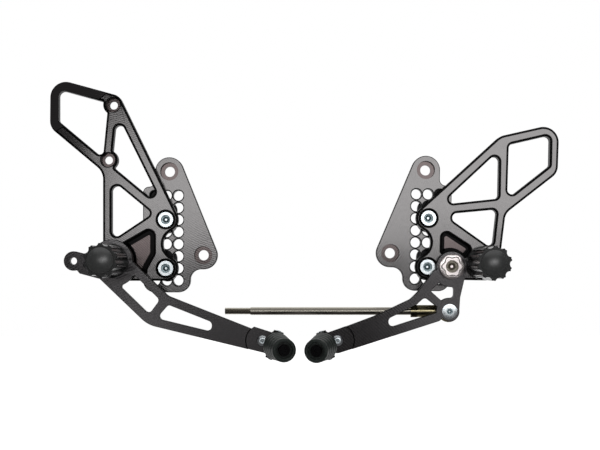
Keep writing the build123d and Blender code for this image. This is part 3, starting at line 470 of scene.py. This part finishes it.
def key_socket(piece, top, across, depth, mouth):
    """Hexagon socket with a turned mouth and a drilled cone at its bottom, in mm."""
    corner, floor = across / 2 / cos(pi / 6), top - depth
    cone = [(across * 0.46, floor + 0.1), (across * 0.15, floor - across * 0.2)]
    cut_away(piece, turned("hexagon", [(corner, top + 1), (corner, floor)], sides=6))
    cut_away(piece, turned("drill", cone, sides=24))
    cut_away(piece, turned("mouth", [(mouth + 1, top + 1), (mouth - 0.6, top - 0.6)], sides=48))


def stood(piece, foot, axis):
    """Stands a piece turned about +Z on its foot, along the axis, and smooths its curves."""
    way = Vector(axis).to_track_quat("Z", "Y").to_matrix().to_4x4()
    piece.matrix_world = Matrix.Translation(foot) @ way
    bpy.ops.object.select_all(action="DESELECT")
    piece.select_set(True)
    bpy.context.view_layer.objects.active = piece
    bpy.ops.object.transform_apply(location=True, rotation=True, scale=True)
    bpy.ops.object.shade_smooth_by_angle(angle=radians(32))
    return piece


def joined(pieces):
    """Makes one object of several, named as the first."""
    bpy.ops.object.select_all(action="DESELECT")
    for piece in pieces:
        piece.select_set(True)
    bpy.context.view_layer.objects.active = pieces[0]
    bpy.ops.object.join()
    return pieces[0]


def socket_shaded(piece, made, socket_shade, mouth, top):
    """Gives a piece turned about +Z its material, and its socket's walls a darker one as painted shade, in
    mm.
    """
    piece.data.materials.append(made)
    piece.data.materials.append(socket_shade)
    for face in piece.data.polygons:
        away, height = face.center.xy.length, face.center.z
        if 0.3 * MM < away < mouth * MM and (top - 7) * MM < height < (top - 0.02) * MM:
            face.material_index = 1


def plated(name, color, dark, roughness, spot_size, bump):
    """Metal with a fine mottled skin."""
    made = bpy.data.materials.new(name)
    made.use_nodes = True
    tree = made.node_tree
    shader = tree.nodes["Principled BSDF"]
    shader.inputs["Metallic"].default_value = 1.0
    place = tree.nodes.new("ShaderNodeTexCoord").outputs["Object"]
    spots = pattern(tree, "ShaderNodeTexNoise", place, scale=1 / (spot_size * MM), detail=4.0)
    tree.links.new(blended(tree, spread(tree, spots, 0.35, 0.65), dark, color), shader.inputs["Base Color"])
    tree.links.new(spread(tree, spots, 0, 1, roughness - 0.04, roughness + 0.04), shader.inputs["Roughness"])
    tree.links.new(raised(tree, spots, bump), shader.inputs["Normal"])
    return made


zinc = plated("zinc", (0.85, 0.89, 0.91), (0.6, 0.67, 0.7), 0.21, 0.8, 0.012)
black_oxide = plated("black_oxide", (0.03, 0.03, 0.032), (0.018, 0.018, 0.019), 0.3, 0.8, 0.02)
bolt_profile = [
    (3.4, 0), (4.0, 0.6), (4.0, 17.3), (6.2, 17.3), (6.38, 17.5, 0.0), (6.38, 17.7, 0.12), (6.38, 24.7, 0.12),
    (6.36, 24.95), (6.28, 25.15), (6.1, 25.3),
]
socket_bolt = turned("brake_socket_bolts", bolt_profile, sides=96, peaks=32)
key_socket(socket_bolt, 25.3, 6.0, 4.0, 3.8)
# The socket's walls take a darker zinc as painted shade.
socket_shade_zinc = plated("socket_shade_zinc", (0.6, 0.72, 0.75), (0.44, 0.55, 0.58), 0.35, 0.8, 0.012)
socket_shaded(socket_bolt, zinc, socket_shade_zinc, 3.9, 25.3)
forward = (0, -1, 0)
gear_bolt = twin(socket_bolt, "gear_socket_bolts")
for side, first in (("brake", socket_bolt), ("gear", gear_bolt)):
    second = twin(first, side + "_second_bolt")
    upper, lower = bolt_places[side]
    bolts = joined([stood(first, upper, forward), stood(second, lower, forward)])
    fit(bolts, zinc, "frame_side", side + "_bracket_bolts")
    wear(side + "_nut_bars", black_oxide)


# Levers: brake pedal and gear lever, milled from 8 mm aluminium with a fine
# chamfer, and the toe blocks that are screwed to the step at their tips. The
# gear lever's arm between its pivot and the rod's joint is as wide as the boss.
seams = []
for side in ("brake", "gear"):
    low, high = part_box(side + "_toe_screw")
    seams.append(((Vector(low) + Vector(high)) / 2, 13.6 * MM, 0.9 * MM))
# Its chamfers and walls take black as painted shade.
lever_finish = anodised("lever_finish", (0.083, 0.08, 0.082), edge_shade_black, (40, 0, -260), 2.0, seams=seams)
for name in ("brake_pedal", "brake_toe_block", "gear_toe_block"):
    wear(name, lever_finish)
joints = {joint["name"]: joint for joint in frame["joints"]}
lever_pivot = Vector(joints["gear_lever_pivot"]["pos_m"])
lever_front, lever_thick = -30.6 * MM, 8 * MM
window_top, window_bottom, window_round = -16.7, -25.3, 2.4 * MM
arm_outline = [
    (12.1, -2.7), (7.3, -25.2), (6.85, -34.7), (3.1, -30.9), (-2.4, -28.2), (-1.3, -25.5),
    (2.0, window_bottom), (2.0, window_top), (0.0, -16.2), (7.1, -6.7),
]
gear_way = Matrix.Rotation(side_turns["gear"], 3, "Y")
bpy.ops.object.select_all(action="DESELECT")
bpy.ops.mesh.primitive_circle_add(vertices=len(arm_outline), radius=10 * MM, fill_type="NGON")
arm = bpy.context.object
arm.name = "lever_arm"
bpy.ops.object.mode_set(mode="EDIT")
bpy.ops.mesh.select_mode(type="VERT")
bpy.ops.mesh.select_all(action="DESELECT")
bpy.ops.object.mode_set(mode="OBJECT")
for corner, (across, up) in zip(arm.data.vertices, arm_outline):
    along = gear_way @ Vector((across, 0, up)) * MM
    corner.co = (lever_pivot.x + along.x, lever_front, lever_pivot.z + along.z)
    corner.select = up in (window_top, window_bottom)
bpy.ops.object.mode_set(mode="EDIT")
bpy.ops.mesh.bevel(affect="VERTICES", offset=window_round, segments=6)
bpy.ops.mesh.select_all(action="SELECT")
bpy.ops.mesh.extrude_region_move(TRANSFORM_OT_translate={"value": (0, lever_thick, 0)})
bpy.ops.mesh.select_all(action="SELECT")
bpy.ops.mesh.normals_make_consistent(inside=False)
bpy.ops.object.mode_set(mode="OBJECT")
gear_lever = own_mesh("gear_lever", "gear_lever_finished")
union = gear_lever.modifiers.new("arm", "BOOLEAN")
union.operation = "UNION"
union.object = arm
bpy.ops.object.modifier_apply(modifier=union.name)
bpy.data.objects.remove(arm)
bpy.ops.object.shade_smooth_by_angle(angle=radians(32))
fit(gear_lever, lever_finish, "lever_group", "gear_lever")


# Pivots: the gear lever turns on a stainless shoulder bolt, with a six-pointed
# groove and a wide socket in its head. The brake pedal turns on a sleeve round
# its peg's bolt. Both run in bronze bushes, against steel washers.
stainless = plated("stainless", (0.86, 0.8, 0.79), (0.74, 0.68, 0.665), 0.22, 0.7, 0.003)
# A darker steel, painted shade for the socket walls and the groove.
steel_painted_shade = plated("steel_painted_shade", (0.5, 0.46, 0.39), (0.34, 0.315, 0.26), 0.35, 0.8, 0.01)
bronze = plated("bronze", (0.5, 0.36, 0.18), (0.38, 0.26, 0.12), 0.4, 1.0, 0.04)
pivot_profile = [
    (3.4, 0), (4.0, 0.6), (4.0, 9.5), (6.0, 9.5), (6.0, 19.7), (10.1, 19.7), (10.4, 20.0), (10.4, 24.1),
    (10.38, 24.6), (10.3, 24.82), (10.15, 24.9), (8.15, 24.9, 0.85), (7.75, 23.7, 0.85), (7.3, 24.85, 0.8),
    (5.2, 24.85), (4.9, 24.6), (4.8, 22.9),
]
pivot_bolt = turned("star_pivot_bolt", pivot_profile, sides=96, peaks=6)
key_socket(pivot_bolt, 22.9, 7.4, 2.0, 4.4)
socket_shaded(pivot_bolt, stainless, steel_painted_shade, 4.95, 24.7)
# The groove's sloped walls take the darker steel as painted shade, as the socket walls do.
groove_inside, groove_outside = 6.3 * MM, 9.2 * MM
for face in pivot_bolt.data.polygons:
    if groove_inside < face.center.xy.length < groove_outside and 0.1 < face.normal.z < 0.9:
        face.material_index = 1
low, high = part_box("pivot_bolt")
pivot_foot = ((low[0] + high[0]) / 2, high[1], (low[2] + high[2]) / 2)
fit(stood(pivot_bolt, pivot_foot, forward), stainless, "frame_side", "pivot_bolt")
for name in ("pedal_washer", "lever_washer", "pedal_sleeve"):
    wear(name, stainless)
for name in ("pedal_bush", "lever_bush"):
    wear(name, bronze)


# Foot pegs: turned aluminium, hard anodised gloss black and fluted for grip,
# each closed by a pressed-in black plastic cap. A bolt down the bore holds
# them, and a collar stands under the gear side's peg.
def moulded(name, color, roughness, grain_size, bump, gloss=0.5):
    """Plastic, rubber or glossy coating with a fine grain."""
    made = bpy.data.materials.new(name)
    made.use_nodes = True
    tree = made.node_tree
    shader = tree.nodes["Principled BSDF"]
    shader.inputs["Specular IOR Level"].default_value = gloss
    place = tree.nodes.new("ShaderNodeTexCoord").outputs["Object"]
    grain = pattern(tree, "ShaderNodeTexNoise", place, scale=1 / (grain_size * MM), detail=5.0)
    tones = blended(tree, grain, [c * 0.8 for c in color], [c * 1.2 for c in color])
    tree.links.new(tones, shader.inputs["Base Color"])
    tree.links.new(spread(tree, grain, 0, 1, roughness - 0.05, roughness + 0.05), shader.inputs["Roughness"])
    tree.links.new(raised(tree, grain, bump), shader.inputs["Normal"])
    return made


peg_black = moulded("peg_black", (0.006, 0.007, 0.007), 0.24, 1.4, 0.01, gloss=0.3)
cap_plastic = moulded("cap_plastic", (0.018, 0.023, 0.021), 0.36, 0.5, 0.01, gloss=1.0)
cap_plastic.node_tree.nodes["Principled BSDF"].inputs["IOR"].default_value = 1.8
for side in ("brake", "gear"):
    wear(side + "_peg", peg_black)
    wear(side + "_peg_cap", cap_plastic)
    wear(side + "_peg_bolt", zinc)
wear("peg_collar", lever_finish)


# Toe ends: a rubber sleeve on a spindle that folds back on a pin, against a
# pair of torsion springs. The pin sits in the ears of the toe block, which a
# button-headed screw clamps to the lever.
toe_lean = radians(15)
sleeve_start = 6.6
sleeve_length, sleeve_rings = 27.5, 5
sleeve_base, sleeve_tip = 11.2, 9.5
ring_pitch = sleeve_length / sleeve_rings
ring_outline = (
    (-0.25, 0.3), (0.0, 0.9), (0.0, ring_pitch - 0.9), (-0.25, ring_pitch - 0.3), (-0.7, ring_pitch),
)
sleeve_profile = [(10.7, 0)]
for ring in range(sleeve_rings):
    start = ring * ring_pitch
    for out, up in ring_outline:
        taper = sleeve_base + (sleeve_tip - sleeve_base) * (start + up) / sleeve_length
        sleeve_profile.append((taper + out, start + up))
sleeve_profile[-2:] = [(sleeve_tip - 0.3, 26.9), (sleeve_tip - 0.8, 27.3), (sleeve_tip - 1.5, 27.5)]
sleeve_profile += [(7.4, 27.5), (7.0, 27.3), (6.8, 26.9), (6.8, 24.5)]
button_profile = [
    (2.2, 0), (2.5, 0.4), (2.5, 8.0), (4.6, 8.0), (4.75, 8.15), (4.75, 8.5), (4.55, 9.2), (4.1, 9.85),
    (3.5, 10.35), (2.8, 10.65), (2.4, 10.7),
]
toe_rubber = moulded("toe_rubber", (0.018, 0.025, 0.022), 0.55, 0.6, 0.02, gloss=0.4)
spring_steel = plated("spring_steel", (0.62, 0.58, 0.5), (0.45, 0.42, 0.36), 0.25, 0.9, 0.01)
coil_radius, wire_radius, coil_turns, coil_pitch, coil_start = 3.2, 0.45, 2.5, 1.0, 5.2
for side, lever_body in (("brake", "pedal_group"), ("gear", "lever_group")):
    toe_body = side + "_toe_group"
    joint = joints[side + "_toe_fold"]
    pin = Vector(joint["pos_m"])
    pin_way = Vector(joint["axis"])
    outward = Vector((-pin_way.z, 0, pin_way.x))
    peg_way = Vector(forward) * cos(toe_lean) + outward * sin(toe_lean)

    sleeve = turned(side + "_rubber_sleeve", sleeve_profile, sides=72)
    cut_away(sleeve, turned("core", [(5.0, -1), (5.0, 26)], sides=48))
    stood(sleeve, pin + peg_way * sleeve_start * MM, peg_way)
    fit(sleeve, toe_rubber, toe_body, side + "_toe_rubber")

    button = turned(side + "_button_screw", button_profile, sides=48)
    key_socket(button, 10.7, 3.0, 1.6, 1.95)
    low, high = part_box(side + "_toe_screw")
    stood(button, ((low[0] + high[0]) / 2, high[1], (low[2] + high[2]) / 2), forward)
    fit(button, zinc, lever_body, side + "_toe_screw")

    bpy.ops.object.select_all(action="DESELECT")
    bpy.ops.mesh.primitive_circle_add(vertices=10, radius=wire_radius * MM, location=(coil_radius * MM, 0, 0),
                                      rotation=(radians(90), 0, 0))
    coil = bpy.context.object
    coil.name = side + "_springs"
    bpy.ops.object.transform_apply(location=True, rotation=True)
    winding = coil.modifiers.new("winding", "SCREW")
    winding.angle = coil_turns * 2 * pi
    winding.screw_offset = coil_turns * coil_pitch * MM
    winding.steps = winding.render_steps = 60
    bpy.ops.object.modifier_apply(modifier=winding.name)
    bpy.ops.object.mode_set(mode="EDIT")
    bpy.ops.mesh.select_all(action="SELECT")
    bpy.ops.mesh.fill_holes(sides=0)
    bpy.ops.mesh.select_all(action="SELECT")
    bpy.ops.mesh.normals_make_consistent(inside=False)
    bpy.ops.object.mode_set(mode="OBJECT")
    other_coil = twin(coil, side + "_other_coil")
    stood(coil, pin + pin_way * coil_start * MM, pin_way)
    stood(other_coil, pin - pin_way * coil_start * MM, -pin_way)
    fit(joined([coil, other_coil]), spring_steel, lever_body, side + "_toe_spring")

    wear(side + "_toe_pin", zinc)
    wear(side + "_toe_spindle", lever_finish)
    wear(side + "_toe_end_screw", black_oxide)


# Linkage: a rod end in yellow zinc on the gear lever, its ball held by a
# countersunk bolt with a flat hexagon-socket head, a lock nut, and a drawn
# steel rod with a cut thread at both ends.
yellow_zinc = plated("yellow_zinc", (0.56, 0.5, 0.31), (0.38, 0.33, 0.19), 0.25, 2.5, 0.01)
drawn_steel = plated("drawn_steel", (0.5, 0.475, 0.41), (0.46, 0.435, 0.37), 0.2, 3.0, 0.0005)
for name in ("rod_end", "lock_nut"):
    wear(name, yellow_zinc)
wear("rod_ball", stainless)
for name in ("rod_spacer", "rod_nut"):
    wear(name, zinc)

rod_bolt_profile = [
    (2.6, 0), (3.0, 0.4), (3.0, 21.0), (6.0, 24.0), (6.1, 24.03), (6.1, 24.08), (6.0, 24.1),
]
rod_bolt = turned("joint_bolt", rod_bolt_profile, sides=72)
key_socket(rod_bolt, 24.1, 4.0, 2.0, 2.4)
low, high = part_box("rod_bolt")
# Socket walls in darker zinc, painted shade.
socket_shaded(rod_bolt, zinc, socket_shade_zinc, 2.5, 24.1)
stood(rod_bolt, ((low[0] + high[0]) / 2, high[1], (low[2] + high[2]) / 2), forward)
fit(rod_bolt, zinc, "lever_group", "rod_bolt")

rod_radius, thread_radius, thread_root, thread_pitch = 3.2, 2.95, 2.55, 1.0
rod_length, near_thread, far_thread = 171.3, 19.0, 149.9
rod_profile = [(2.4, 0)]
for start, end in ((0.4, near_thread - 0.6), (far_thread + 0.6, rod_length - 0.6)):
    if start > near_thread:
        rod_profile += [(thread_radius, near_thread), (rod_radius, near_thread), (rod_radius, far_thread),
                        (thread_radius, far_thread)]
    for ridge in range(int((end - start) / thread_pitch)):
        rod_profile += [(thread_radius, start + ridge * thread_pitch),
                        (thread_root, start + (ridge + 0.5) * thread_pitch)]
rod_profile += [(thread_radius, rod_length - 0.6), (2.4, rod_length)]
rod = turned("threaded_rod", rod_profile, sides=40)
low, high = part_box("shift_rod")
stood(rod, (high[0], (low[1] + high[1]) / 2, (low[2] + high[2]) / 2), (-1, 0, 0))
fit(rod, drawn_steel, "rod_group", "shift_rod")
